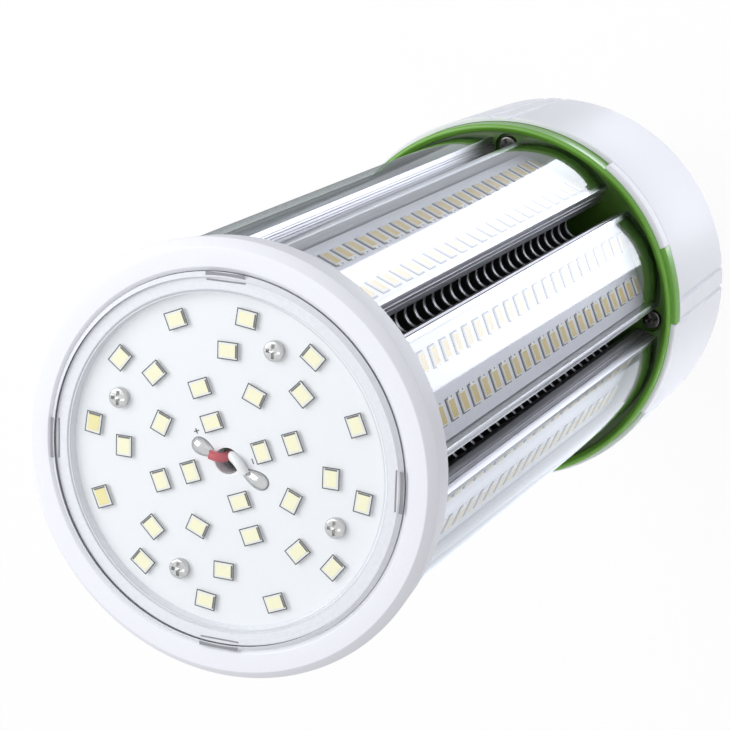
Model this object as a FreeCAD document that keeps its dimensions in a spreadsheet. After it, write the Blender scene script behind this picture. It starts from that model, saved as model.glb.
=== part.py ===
# Corn-style LED lamp with an Edison screw base, standing on its base with the
# lit end up.  Lengths are in millimetres and angles in degrees.
# The origin is half-way up the screw shell, on the lamp's axis.
import FreeCAD, Part
import os
import re
import Sketcher

doc = FreeCAD.newDocument("corn_lamp")
sheet = doc.addObject("Spreadsheet::Sheet", "sizes")

SIZES = {
    # screw base
    "shell_radius": 13.1, "shell_half": 12.0, "shell_wall": 0.5,
    "insulator_seat": 3.0, "insulator_drop": 3.2, "contact_radius": 5.0,
    "contact_thick": 1.6, "rivet_radius": 1.5,
    # white driver housing
    "housing_foot": 36.0, "housing_height": 37.1, "housing_radius": 39.05, "housing_draft": 0.7,
    "housing_wall": 2.1, "rear_round": 1.9, "neck_radius": 15.5, "spigot_depth": 10.0,
    "spigot_wall": 2.0, "shoulder_drop": 9.0, "ledge_width": 2.2, "ledge_height": 4.0,
    "notch_width": 1.2, "notch_depth": 0.5,
    # green ring that joins the housing and the lamp body
    "tab_height": 3.6, "wing_angle": 30.5, "tab_angle": 24.0, "tab_gap": 0.1, "ring_inset": 1.05, "ring_depth": 7.8,
    "lip_height": 1.0, "lip_width": 0.8, "lip_bevel": 0.8, "recess_depth": 2.4, "wire_way": 4.0,
    "screw_inset": 3.0, "screw_well": 2.5, "screw_sink": 1.4, "screw_head": 1.9, "screw_thick": 1.2,
    # lamp body
    "lamp_length": 130.8, "crown_play": 0.4, "cover_bulge": 2.4, "channel_depth": 5.4,
    "fin_thick": 0.8, "fin_top_plate": 2.0, "fin_foot": 15.2, "column_side": 12.0,
    # lit sides
    "channel_half": 10.3, "channel_flare": 1.4, "channel_wall": 1.2, "floor_thick": 1.7,
    "groove_width": 0.7, "groove_depth": 0.5, "groove_inset": 1.1, "board_thick": 1.0, "board_play": 0.3,
    "cover_thick": 1.2, "led_across": 3.5, "led_along": 2.8, "led_thick": 0.7, "led_row": 4.7,
    "led_top_gap": 14.2,
    # lit end
    "end_bevel": 1.6, "end_step": 0.8, "skirt_wall": 0.7, "skirt_drop": 1.2, "end_body": 6.1,
    "cover_margin": 3.9, "cover_seat": 2.6, "cover_ledge": 2.3, "cover_play": 0.2, "cover_rise": 0.7,
    "cover_wall": 1.5, "cover_bevel": 0.8, "window_thick": 0.7, "mouth_bevel": 0.6,
    "lug_inset": 1.7, "lug_thick": 1.3, "lug_half": 3.6, "lug_drop": 1.8, "lug_play": 0.15,
    "carrier_play": 0.2, "end_board_inset": 1.2,
    "end_board_sink": 1.7, "end_board_thick": 1.6, "end_led_inset": 3.8, "end_led_spacing": 5.95,
    "pan_inset": 7.1, "pan_radius": 1.75, "pan_thick": 1.1, "lead_hole": 2.7, "lead_radius": 0.75,
    "lead_offset": 0.95, "lead_play": 0.05, "pad_offset": 5.35, "solder_radius": 1.2, "solder_thick": 1.0,
    # driver inside the housing
    "driver_play": 0.4, "driver_thick": 1.6, "transformer_long": 19.0, "transformer_wide": 16.0,
    "transformer_tall": 17.0, "capacitor_radius": 6.3, "capacitor_tall": 20.0, "capacitor_place": 20.0,
    "choke_long": 13.0, "choke_wide": 11.0, "choke_tall": 12.0, "part_place": 15.0,
    "feed_radius": 0.8, "neutral_place": 8.6, "neutral_drop": 3.0,
}
for row, (name, value) in enumerate(SIZES.items(), start=1):
    sheet.set("A%d" % row, name)
    sheet.set("B%d" % row, str(value))
    sheet.setAlias("B%d" % row, name)
doc.recompute()

SIDES = 8
FINS = 25
LED_ROWS = 23
WING_ANGLES = (-98.0, -43.5, 82.0, 136.5)
TAB_ANGLES = (-67.5, 112.5)
NOTCH_ANGLES = (23.0, 29.4)
# Rings of LEDs on the lit end, from the outermost in: first angle and count
END_LED_RINGS = ((15.0, 12), (22.5, 8), (0.0, 8), (45.0, 4))

# Heights along the axis, as sums of sizes
FOOT = "housing_foot"
BRIM = "housing_foot + housing_height"
SOCKET = BRIM + " - ring_depth + tab_height + lip_height"
LIP = BRIM + " + tab_height + lip_height"
FLOOR = LIP + " - recess_depth"
FACE = LIP + " + lamp_length"
UNDER = FACE + " - end_body"
END_BOARD = FACE + " - end_board_sink"
DRIVER = FOOT + " + ledge_height"

# Distances from the axis, each worked out from the one outside it
INSIDE = "housing_radius - housing_wall - housing_draft"
RING = "housing_radius - ring_inset"
RECESS = RING + " - lip_width - lip_bevel"
SCREWS = RECESS + " - screw_inset"
CROWN = RECESS + " - crown_play"
RAIL = CROWN + " - cover_bulge"
SEAT = RAIL + " - channel_depth"
COVER = CROWN + " - cover_margin"
BORE = COVER + " - cover_ledge"
PLATE = BORE + " - end_board_inset"
PANS = PLATE + " - pan_inset"


def bound(text):
    """The text of an expression, with each size read from the sheet."""
    return re.sub("[a-z_]+", lambda found: ("sizes." if found[0] in SIZES else "") + found[0], text)


def amount(text):
    """The value of a sum of sizes, used to draw a sketch before it is bound."""
    total, sign = 0.0, 1
    for word in text.split():
        if word in "+-":
            sign = 1 if word == "+" else -1
        else:
            total += sign * (SIZES[word] if word in SIZES else float(word))
    return total


def solid(kind, name, **given):
    """A primitive with its sizes bound; x, y and z place it."""
    thing = doc.addObject("Part::" + kind, name)
    for key, text in given.items():
        key = "Placement.Base." + key if key in "xyz" else key
        thing.setExpression(key, bound(text))
    return thing


def join(kind, name, first, second):
    """A cut or a common of two objects."""
    thing = doc.addObject("Part::" + kind, name)
    thing.Base, thing.Tool = first, second
    return thing


def fuse(name, things):
    thing = doc.addObject("Part::MultiFuse", name)
    thing.Shapes = things
    return thing


def group(name, things):
    thing = doc.addObject("Part::Compound", name)
    thing.Links = things
    return thing


def turn(thing, angle, axis=(0, 0, 1)):
    """Turn an object by a fixed angle, round the lamp's axis unless another is given."""
    spin = FreeCAD.Rotation(FreeCAD.Vector(*axis), angle)
    thing.Placement = FreeCAD.Placement(thing.Placement.Base, spin)
    return thing


def round_axis(name, thing, angles):
    """Copies of an object at each angle round the axis, as one group."""
    return group(name, [turn(group("%s_at_%d" % (name, i), [thing]), a) for i, a in enumerate(angles)])


def outline(body, name, plane, points):
    """A closed sketch of straight lines whose corners are bound to sums of sizes."""
    sketch = body.newObject("Sketcher::SketchObject", name)
    support = [f for f in body.Origin.OriginFeatures if f.Name.startswith(plane)][0]
    sketch.AttachmentSupport = [(support, "")]
    sketch.MapMode = "FlatFace"
    spots = [FreeCAD.Vector(amount(a), amount(b), 0) for a, b in points]
    count = len(spots)
    for i in range(count):
        sketch.addGeometry(Part.LineSegment(spots[i], spots[(i + 1) % count]), False)
    for i in range(count):
        sketch.addConstraint(Sketcher.Constraint("Coincident", i, 2, (i + 1) % count, 1))
    for i, (a, b) in enumerate(points):
        for kind, text in (("DistanceX", a), ("DistanceY", b)):
            if text == "0":
                line = -2 if kind == "DistanceX" else -1
                sketch.addConstraint(Sketcher.Constraint("PointOnObject", i, 1, line))
            else:
                k = sketch.addConstraint(Sketcher.Constraint(kind, -1, 1, i, 1, amount(text)))
                sketch.setExpression("Constraints[%d]" % k, bound(text))
    return sketch


def turned(name, points):
    """A body turned round the axis from (radius, height) corners."""
    body = doc.addObject("PartDesign::Body", name)
    sketch = outline(body, name + "_profile", "XZ_Plane", points)
    spin = body.newObject("PartDesign::Revolution", name + "_turned")
    spin.Profile = sketch
    spin.ReferenceAxis = (sketch, ["V_Axis"])
    spin.Angle = 360.0
    return body


def drawn(name, points, start, length):
    """A body drawn along the axis from (x, y) corners."""
    body = doc.addObject("PartDesign::Body", name)
    sketch = outline(body, name + "_profile", "XY_Plane", points)
    sketch.setExpression("AttachmentOffset.Base.z", bound(start))
    pad = body.newObject("PartDesign::Pad", name + "_drawn")
    pad.Profile = sketch
    pad.setExpression("Length", bound(length))
    return body


def spread(step, first=0.0, count=SIDES):
    return [first + step * i for i in range(count)]


nodes = []


def keep(thing, label):
    thing.Label = label
    nodes.append(thing)
    return thing


# Screw base: shell, insulator and centre contact
shell_out = solid("Cylinder", "shell_out", Radius="shell_radius", Height="shell_half * 2", z="-1 * shell_half")
shell_in = solid("Cylinder", "shell_in", Radius="shell_radius - shell_wall", Height="shell_half * 2",
                 z="-1 * shell_half")
keep(join("Cut", "screw_shell_tube", shell_out, shell_in), "screw_shell")

plug = solid("Cylinder", "plug", Radius="shell_radius - shell_wall", Height="insulator_seat",
             z="-1 * shell_half")
plug_cone = solid("Cone", "plug_cone", Radius1="contact_radius + 0.4", Radius2="shell_radius - shell_wall",
                  Height="insulator_drop", z="-1 * shell_half - insulator_drop")
plug_bore = solid("Cylinder", "plug_bore", Radius="rivet_radius", Height="insulator_drop + insulator_seat",
                  z="-1 * shell_half - insulator_drop")
keep(join("Cut", "base_insulator_cut", fuse("plug_whole", [plug, plug_cone]), plug_bore), "base_insulator")

button = solid("Cylinder", "button", Radius="contact_radius", Height="contact_thick",
               z="-1 * shell_half - insulator_drop - contact_thick")
rivet = solid("Cylinder", "rivet", Radius="rivet_radius", Height="insulator_drop + insulator_seat",
              z="-1 * shell_half - insulator_drop")
keep(fuse("contact_whole", [button, rivet]), "centre_contact")

# Driver housing: drum, shoulder, neck and the spigot that sits in the shell
shoulder = FOOT + " - shoulder_drop"
drum = turned("housing_drum", [
    ("housing_radius", BRIM), ("housing_radius - housing_draft", FOOT + " + rear_round"),
    ("housing_radius - housing_draft - rear_round", FOOT), ("neck_radius", shoulder),
    ("neck_radius", "shell_half"), ("shell_radius - shell_wall", "shell_half"),
    ("shell_radius - shell_wall", "shell_half - spigot_depth"),
    ("shell_radius - shell_wall - spigot_wall", "shell_half - spigot_depth"),
    ("shell_radius - shell_wall - spigot_wall", shoulder),
    (INSIDE + " - ledge_width", DRIVER), (INSIDE, DRIVER), (INSIDE, SOCKET),
    (RING + " + tab_gap", SOCKET), (RING + " + tab_gap", BRIM)])
wing_out = solid("Cylinder", "wing_out", Radius="housing_radius", Height="tab_height", z=BRIM)
wing_out.setExpression("Angle", bound("wing_angle"))
wing_in = solid("Cylinder", "wing_in", Radius=RING + " + tab_gap", Height="tab_height", z=BRIM)
wing = join("Cut", "wing", wing_out, wing_in)
drum_whole = fuse("drum_whole", [drum, round_axis("wings", wing, WING_ANGLES)])
notch = solid("Box", "notch", Length="notch_depth + housing_draft", Width="notch_width",
              Height="housing_height + tab_height", x="housing_radius - housing_draft - notch_depth",
              y="-0.5 * notch_width", z=FOOT)
notch_angles = [first + 90.0 * i for i in range(4) for first in NOTCH_ANGLES]
notches = round_axis("notches", notch, notch_angles)
keep(join("Cut", "driver_housing_cut", drum_whole, notches), "driver_housing")

# Green ring: lip, recess for the lit sides, screw wells and interlocking tabs
disc = turned("ring_disc", [
    ("wire_way", FLOOR), ("wire_way", SOCKET), (RING, SOCKET), (RING, LIP),
    (RING + " - lip_width", LIP), (RECESS, LIP + " - lip_bevel"), (RECESS, FLOOR)])
tab_out = solid("Cylinder", "tab_out", Radius="housing_radius", Height="tab_height - tab_gap",
                z=BRIM + " + tab_gap")
tab_out.setExpression("Angle", bound("tab_angle - 2 * tab_gap"))
tab_in = solid("Cylinder", "tab_in", Radius=RING + " - lip_width", Height="tab_height", z=BRIM)
tab = join("Cut", "tab", tab_out, tab_in)
tabs = round_axis("tabs", tab, [angle + SIZES["tab_gap"] for angle in TAB_ANGLES])
ring_whole = fuse("ring_whole", [disc, tabs])
screw_angles = spread(90.0, 22.5, 4)
well = solid("Cylinder", "well", Radius="screw_well", Height="screw_sink + 1", x=SCREWS,
             z=FLOOR + " - screw_sink")
keep(join("Cut", "green_ring_cut", ring_whole, round_axis("wells", well, screw_angles)), "green_ring")

head = solid("Cylinder", "head", Radius="screw_head", Height="screw_thick", x=SCREWS, z=FLOOR + " - screw_sink")
keep(round_axis("ring_screw_set", head, screw_angles), "ring_screws")

# Fin stack: one octagon per fin on a square column, under a thicker top plate
def octagon(name, tall, height):
    plate = solid("Prism", name, Circumradius="(%s) / cos(22.5)" % SEAT, Height=tall, z=height)
    plate.Polygon = SIDES
    return turn(plate, 22.5)


FIN_PITCH = "(lamp_length - end_body - fin_top_plate - fin_foot) / %d" % FINS
column = solid("Box", "column", Length="column_side", Width="column_side",
               Height="lamp_length - end_body + recess_depth",
               x="-0.5 * column_side", y="-0.5 * column_side", z=FLOOR)
stack = [column, octagon("top_plate", "fin_top_plate", UNDER + " - fin_top_plate")]
for i in range(1, FINS + 1):
    stack.append(octagon("fin_%d" % i, "fin_thick", "%s - fin_top_plate - %d * %s" % (UNDER, i, FIN_PITCH)))
bore = solid("Cylinder", "bore", Radius="wire_way", Height="lamp_length + recess_depth", z=FLOOR)
keep(join("Cut", "fin_stack_cut", fuse("stack_whole", stack), bore), "fin_stack")

# One lit side, drawn at angle zero and then set eight times round the axis
SIDE_TALL = "lamp_length + recess_depth - end_body"
BOARD = SEAT + " + floor_thick"
BOARD_HALF = "channel_half - channel_wall - board_play"
upper = [(SEAT, "channel_half - channel_flare"), (SEAT + " + channel_flare", "channel_half"),
         (RAIL + " - groove_inset - groove_width", "channel_half"),
         (RAIL + " - groove_inset - groove_width", "channel_half - groove_depth"),
         (RAIL + " - groove_inset", "channel_half - groove_depth"),
         (RAIL + " - groove_inset", "channel_half"), (RAIL, "channel_half"),
         (RAIL, "channel_half - channel_wall"), (BOARD, "channel_half - channel_wall")]


def mirrored(text):
    """The same sum with every sign changed."""
    swap = {"+": "-", "-": "+"}
    return "0 - " + " ".join(swap.get(word, word) for word in text.split())


channel = drawn("channel", upper + [(x, mirrored(y)) for x, y in reversed(upper)], FLOOR, SIDE_TALL)
strip = solid("Box", "strip", Length="board_thick", Width="2 * (%s)" % BOARD_HALF, Height=SIDE_TALL,
              x=BOARD, y="-1 * (%s)" % BOARD_HALF, z=FLOOR)
CURVE = "(channel_half ^ 2 + cover_bulge ^ 2) / (2 * cover_bulge)"
dome = solid("Cylinder", "dome", Radius=CURVE, Height=SIDE_TALL, x="%s - %s" % (CROWN, CURVE), z=FLOOR)
hollow = solid("Cylinder", "hollow", Radius=CURVE + " - cover_thick", Height=SIDE_TALL,
               x="%s - %s" % (CROWN, CURVE), z=FLOOR)
slab = solid("Box", "slab", Length="cover_bulge", Width="channel_half * 2", Height=SIDE_TALL,
             x=RAIL, y="-1 * channel_half", z=FLOOR)
lens = join("Cut", "lens", join("Common", "dome_slab", dome, slab), hollow)
LED_PITCH = "(lamp_length - led_top_gap) / %d" % (LED_ROWS - 1)
leds = []
for i in range(LED_ROWS):
    for side, row in (("left", "led_row"), ("right", "-1 * led_row")):
        leds.append(solid("Box", "led_%s_%d" % (side, i + 1), Length="led_thick", Width="led_across",
                          Height="led_along", x=BOARD + " + board_thick", y=row + " - led_across / 2",
                          z="%s - led_along / 2 + %d * %s" % (LIP, i, LED_PITCH)))
led_strip = group("led_strip", leds)
for i, angle in enumerate(spread(360.0 / SIDES), start=1):
    for source, label in ((channel, "side_extrusion"), (strip, "side_led_board"),
                          (led_strip, "side_leds"), (lens, "side_cover")):
        keep(turn(group("%s_%d_set" % (label, i), [source]), angle), "%s_%d" % (label, i))

# Lit end: white ring, clear cover with snap lugs, carrier plate, board, LEDs, screws and leads
SKIRT = CROWN + " + end_bevel - end_step"
collar = turned("collar", [
    (BORE, UNDER), (BORE, FACE + " - cover_seat"), (COVER + " + cover_play", FACE + " - cover_seat"),
    (COVER + " + cover_play", FACE + " - mouth_bevel"), (COVER + " + cover_play + mouth_bevel", FACE),
    (CROWN, FACE), (CROWN + " + end_bevel", FACE + " - end_bevel"),
    (SKIRT, FACE + " - end_bevel - end_step"), (SKIRT, UNDER + " - skirt_drop"),
    (SKIRT + " - skirt_wall", UNDER + " - skirt_drop"), (SKIRT + " - skirt_wall", UNDER)])
lug_angles = spread(90.0, 22.5, 4)
pocket = solid("Box", "pocket", Length="lug_thick + 2 * lug_play", Width="lug_half * 2 + 2 * lug_play",
               Height="lug_drop + 1", x=COVER + " - lug_inset - lug_play", y="-1 * lug_half - lug_play",
               z=FACE + " - cover_seat - lug_drop - lug_play")
keep(join("Cut", "end_ring_cut", collar, round_axis("pockets", pocket, lug_angles)), "end_ring")

WINDOW_TOP = FACE + " + cover_rise"
cup = turned("cup", [
    ("0", WINDOW_TOP + " - window_thick"), (COVER + " - cover_wall", WINDOW_TOP + " - window_thick"),
    (COVER + " - cover_wall", FACE + " - cover_seat"), (COVER, FACE + " - cover_seat"),
    (COVER, WINDOW_TOP + " - cover_bevel"), (COVER + " - cover_bevel", WINDOW_TOP), ("0", WINDOW_TOP)])
lug = solid("Box", "lug", Length="lug_thick", Width="lug_half * 2", Height="lug_drop + 0.5",
            x=COVER + " - lug_inset", y="-1 * lug_half", z=FACE + " - cover_seat - lug_drop")
keep(fuse("end_cover_whole", [cup, round_axis("lugs", lug, lug_angles)]), "end_cover")

lead_way = solid("Cylinder", "lead_way", Radius="lead_hole", Height="end_body", z=UNDER)
carrier = solid("Cylinder", "carrier", Radius=BORE + " - carrier_play", z=UNDER,
                Height="end_body - end_board_sink - end_board_thick")
keep(join("Cut", "end_carrier_cut", carrier, lead_way), "end_carrier_plate")
plate = solid("Cylinder", "plate", Radius=PLATE, Height="end_board_thick", z=END_BOARD + " - end_board_thick")
keep(join("Cut", "end_led_board_cut", plate, lead_way), "end_led_board")

end_leds = []
for ring, (first, count) in enumerate(END_LED_RINGS):
    chip = solid("Box", "chip_%d" % ring, Length="led_along", Width="led_across", Height="led_thick",
                 x="%s - end_led_inset - %d * end_led_spacing - led_along / 2" % (PLATE, ring),
                 y="led_across / -2", z=END_BOARD)
    end_leds.append(round_axis("led_ring_%d" % ring, chip, spread(360.0 / count, first, count)))
keep(group("end_led_set", end_leds), "end_leds")

pan = solid("Cylinder", "pan", Radius="pan_radius", Height="pan_thick", x=PANS, z=END_BOARD)
keep(round_axis("pan_set", pan, spread(90.0, 0.0, 4)), "end_board_screws")


def lead(name, label, side):
    """A lead from the driver, up the column and out to its solder joint on the end board."""
    level = END_BOARD + " + lead_radius + lead_play"
    rise = solid("Cylinder", name + "_rise", Radius="lead_radius", y="%d * lead_offset" % side,
                 z=DRIVER + " + driver_thick",
                 Height="%s + lead_radius + lead_play - ( %s + driver_thick )" % (level, DRIVER))
    run = solid("Cylinder", name + "_run", Radius="lead_radius - 2 * lead_play",
                Height="pad_offset - lead_offset - solder_radius", y="%d * lead_offset" % side, z=level)
    turn(run, -90.0 * side, (1, 0, 0))
    keep(fuse(name + "_whole", [rise, run]), label)
    return solid("Cylinder", name + "_blob", Radius="solder_radius", Height="solder_thick",
                 y="%d * pad_offset" % side, z=END_BOARD)


blobs = [lead("red", "red_lead", 1), lead("white", "white_lead", -1)]
keep(group("solder_set", blobs), "solder_joints")

# Driver: round board on the housing's ledge, its parts and the two feeds to the base
driver_disc = solid("Cylinder", "driver_disc", Radius=INSIDE + " - driver_play", Height="driver_thick",
                    z=DRIVER)
keep(driver_disc, "driver_board")
ON_BOARD = DRIVER + " + driver_thick"
keep(solid("Box", "transformer_block", Length="transformer_long", Width="transformer_wide",
           Height="transformer_tall", x="-1 * part_place - transformer_long / 2",
           y="-0.5 * transformer_wide", z=ON_BOARD), "transformer")
keep(solid("Cylinder", "capacitor_can", Radius="capacitor_radius", Height="capacitor_tall", x="capacitor_place",
           z=ON_BOARD), "capacitor")
keep(solid("Box", "choke_block", Length="choke_long", Width="choke_wide", Height="choke_tall",
           x="-0.5 * choke_long", y="part_place - choke_wide / 2", z=ON_BOARD), "choke")
keep(solid("Cylinder", "live_feed_wire", Radius="feed_radius", z="-1 * shell_half + insulator_seat",
           Height="%s + shell_half - insulator_seat" % DRIVER), "live_feed")
NEUTRAL = "shell_half - spigot_depth - neutral_drop"
drop = solid("Cylinder", "neutral_drop_wire", Radius="feed_radius", x="neutral_place",
             z=NEUTRAL + " - feed_radius - 0.1", Height="%s + feed_radius + 0.1 - (%s)" % (DRIVER, NEUTRAL))
reach = solid("Cylinder", "neutral_reach", Radius="feed_radius - 0.1", x="neutral_place", z=NEUTRAL,
              Height="shell_radius - shell_wall - neutral_place - 0.03")
turn(reach, 90.0, (0, 1, 0))
keep(fuse("neutral_whole", [drop, reach]), "neutral_feed")

doc.recompute()
for thing in doc.Objects:
    shape = getattr(thing, "Shape", None)
    if "Invalid" in thing.State or (shape and not shape.isNull() and not shape.isValid()):
        raise RuntimeError("not valid: " + thing.Name)

os.makedirs("parts", exist_ok=True)
for thing in nodes:
    if not thing.Shape.Solids:
        raise RuntimeError("no solid: " + thing.Label)
    thing.Shape.exportStep("parts/%s.step" % thing.Label)
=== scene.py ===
"""Looks of a corn-style LED lamp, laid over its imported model."""
import math

import bmesh
import bpy
from mathutils import Matrix, Vector


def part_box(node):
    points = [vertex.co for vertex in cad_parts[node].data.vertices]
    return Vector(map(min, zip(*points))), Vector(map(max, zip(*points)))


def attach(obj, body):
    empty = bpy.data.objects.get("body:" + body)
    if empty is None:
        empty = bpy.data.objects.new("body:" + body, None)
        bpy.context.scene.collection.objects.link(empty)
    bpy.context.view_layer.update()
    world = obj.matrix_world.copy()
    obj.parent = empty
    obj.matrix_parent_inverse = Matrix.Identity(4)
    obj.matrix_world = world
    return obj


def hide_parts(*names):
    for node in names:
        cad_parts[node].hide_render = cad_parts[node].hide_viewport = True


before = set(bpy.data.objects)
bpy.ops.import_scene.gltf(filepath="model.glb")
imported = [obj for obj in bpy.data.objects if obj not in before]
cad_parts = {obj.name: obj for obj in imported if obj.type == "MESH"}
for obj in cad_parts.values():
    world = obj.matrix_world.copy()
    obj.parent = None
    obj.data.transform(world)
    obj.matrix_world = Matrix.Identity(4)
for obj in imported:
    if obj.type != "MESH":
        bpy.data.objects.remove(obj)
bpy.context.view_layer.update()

bl_info = {
    "name": "Corn LED lamp",
    "version": (1, 0, 0),
    "blender": (4, 5, 0),
    "location": "View3D > Sidebar > Corn lamp",
    "description": "Builds the lamp's pieces, finishes and studio round its packed model",
    "category": "Add Mesh",
}

MM = 0.001
TURN = 360.0
QUARTER = TURN / 4
SIDES = 8
SIDE_STEP = TURN / SIDES
GAP_ANGLE = SIDE_STEP / 2
ROUND_STEPS = 192
FINE_STEPS = 256
SMOOTH_ANGLE = 32.0

# Screw base, in millimetres like all sizes of the lamp
PLUG_RADIUS = 12.5
PLUG_RISE = 3.0
TIP_RADIUS = 5.4
TIP_DROP = 3.2
CONTACT_RADIUS = 5.0
CONTACT_BORE = 1.5

# Driver housing
NECK_RADIUS = 15.5
NECK_BORE = 10.6
NECK_REACH = 10.0
SHOULDER_DROP = 9.0
HOUSING_WALL = 2.1
HOUSING_TAPER = 0.7
BRIM_DROP = 4.6
WING_ANGLES = (-98.0, -43.5, 82.0, 136.5)
WING_WIDE = 30.5
GROOVE_ANGLES = (23.0, 29.4)
GROOVE_DEEP = 0.6

# Green ring
RING_RADIUS = 38.0
RING_BORE = 4.0
RECESS_RADIUS = 36.4
TAB_ANGLES = (-67.5, 112.5)
TAB_WIDE = 24.0
TAB_DROP = 1.0
WELL_INSET = 3.0
WELL_RADIUS = 2.5
WELL_DEEP = 1.4

# Lit sides and lit end
BOARD_THICK = 1.0
CHANNEL_WALL = 1.2
COVER_THICK = 1.2
LED_LONG = 3.5
LED_WIDE = 2.8
LED_TOP = 0.67
SIDE_LED_SHARE = 0.6
END_LED_RINGS = ((15.0, 12), (22.5, 8), (0.0, 8), (45.0, 4))
LED_RING_INSET = 3.8
LED_RING_STEP = 5.95
DEEP_LED_ANGLE = 105.0
DEEP_LED_STEP = 30.0
END_FACE_RADIUS = 36.0
SKIRT_RADIUS = 36.8
SKIRT_BORE = 36.1
END_SCREW_INSET = 7.1
LEAD_RADIUS = 0.8
LEAD_APART = 0.95
SLEEVES = {"red": (0.54, 0.08, 0.11), "white": (0.82, 0.82, 0.84)}
SOLDER = ((-0.1, 4.6, 2.15), (-0.1, -5.6, -2.45))
MARK_ANGLE = 46.0
PLUS_PLACE = (1.84, 6.93)
MINUS_PLACE = (2.36, -4.03)

# Studio: first angle, last angle and strength of each card, and their reach from the axis in metres
CARDS = {
    "side_card": (-53.0, 19.0, 5.0),
    "back_card": (160.0, 210.0, 1.3),
    "grey_card": (70.0, 140.0, 0.33),
    "dark_card": (19.2, 69.8, 0.87),
    "low_card": (-96.0, -53.2, 0.6),
    "under_card": (-150.0, -96.2, 1.7),
}
CARD_REACH = (0.055, 0.24)
CARD_TINT = (0.88, 0.915, 1.0, 1.0)
WHITE = (1.0, 1.0, 1.0, 1.0)


def box_mm(name):
    """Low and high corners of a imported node, in millimetres."""
    low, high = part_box(name)
    return Vector(low) / MM, Vector(high) / MM


CHANNEL_LOW, CHANNEL_HIGH = box_mm("side_extrusion_1")
SEAT, FLOOR = CHANNEL_LOW.x, CHANNEL_LOW.z
RAIL, HALF, UNDER = CHANNEL_HIGH
CROWN = box_mm("side_cover_1")[1].x
STRIP = box_mm("side_led_board_1")[1].x
FIRST_LED = box_mm("side_leds_1")[0].z
SOCKET, LIP = (corner.z for corner in box_mm("green_ring"))
END_RADIUS, _, FACE = box_mm("end_ring")[1]
PLATE_RADIUS, _, END_BOARD = box_mm("end_led_board")[1]
COVER_RADIUS = box_mm("end_cover")[1].x
HOUSING_RADIUS = box_mm("driver_housing")[1].x
SHELL_RADIUS, _, SHELL_TOP = box_mm("screw_shell")[1]
BASE = box_mm("centre_contact")[0].z


class LampSizes(bpy.types.PropertyGroup):
    """Sizes of the repeated pieces, in millimetres."""
    led_count: bpy.props.IntProperty(
        name="LEDs in a row", description="LEDs in each row of a lit side", default=23, min=1)
    led_pitch: bpy.props.FloatProperty(
        name="LED pitch", description="Step from one LED to the next, in mm", default=5.3, min=3.0)
    led_row: bpy.props.FloatProperty(
        name="LED row", description="Distance of a row from the strip's middle, in mm", default=4.7)
    fin_count: bpy.props.IntProperty(
        name="Fins", description="Cooling fins in the stack", default=25, min=1)
    fin_pitch: bpy.props.FloatProperty(
        name="Fin pitch", description="Step from one fin to the next, in mm", default=4.3, min=1.0)
    fin_thick: bpy.props.FloatProperty(
        name="Fin thickness", description="Thickness of a fin, in mm", default=0.8, min=0.1)
    thread_turns: bpy.props.FloatProperty(
        name="Thread turns", description="Turns of the screw base's thread", default=5.5)
    thread_depth: bpy.props.FloatProperty(
        name="Thread depth", description="Depth of the rolled thread, in mm", default=0.9)


class LampColours(bpy.types.PropertyGroup):
    """Main colours of the lamp."""
    white: bpy.props.FloatVectorProperty(
        name="White plastic", description="End ring and driver housing", subtype="COLOR",
        default=(0.77, 0.78, 0.84), min=0.0, max=1.0)
    green: bpy.props.FloatVectorProperty(
        name="Green plastic", description="Joining ring", subtype="COLOR",
        default=(0.13, 0.34, 0.035), min=0.0, max=1.0)
    board: bpy.props.FloatVectorProperty(
        name="Board", description="White solder mask", subtype="COLOR",
        default=(0.84, 0.855, 0.89), min=0.0, max=1.0)
    phosphor: bpy.props.FloatVectorProperty(
        name="Phosphor", description="Yellow of an LED that is off", subtype="COLOR",
        default=(0.90, 0.87, 0.62), min=0.0, max=1.0)
    metal: bpy.props.FloatVectorProperty(
        name="Aluminium", description="Drawn channels", subtype="COLOR",
        default=(0.40, 0.40, 0.42), min=0.0, max=1.0)


class LampStudio(bpy.types.PropertyGroup):
    """Camera and light."""
    place: bpy.props.FloatVectorProperty(
        name="Camera", description="Camera's place", subtype="TRANSLATION", unit="LENGTH",
        default=(0.17369, -0.10885, 0.55413))
    turn: bpy.props.FloatVectorProperty(
        name="Camera turn", description="Camera's turn", subtype="EULER", unit="ROTATION",
        default=tuple(math.radians(a) for a in (-14.025, 22.88, -65.47)))
    lens: bpy.props.FloatProperty(
        name="Lens", description="Focal length on a 36 mm sensor", default=120.8)
    sky: bpy.props.FloatProperty(
        name="Sky", description="Strength of the even studio light", default=0.70)
    key: bpy.props.FloatProperty(
        name="Key light", description="Power of the main soft light", unit="POWER", default=2.7)


# Mesh helpers


def rounded(corners):
    """Points of a closed outline; a corner (a, b, radius) is rounded, a corner (a, b) stays sharp."""
    steps = 4
    points = []
    for i, corner in enumerate(corners):
        here = Vector(corner[:2])
        if len(corner) < 3:
            points.append(here)
            continue
        before = (Vector(corners[i - 1][:2]) - here).normalized()
        after = (Vector(corners[(i + 1) % len(corners)][:2]) - here).normalized()
        half = before.angle(after) / 2
        cut = corner[2] / math.tan(half)
        centre = here + (before + after).normalized() * (corner[2] / math.sin(half))
        start, end = here + before * cut - centre, here + after * cut - centre
        sweep = start.angle_signed(end)
        for k in range(steps + 1):
            points.append(centre + Matrix.Rotation(-sweep * k / steps, 2) @ start)
    return points


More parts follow.
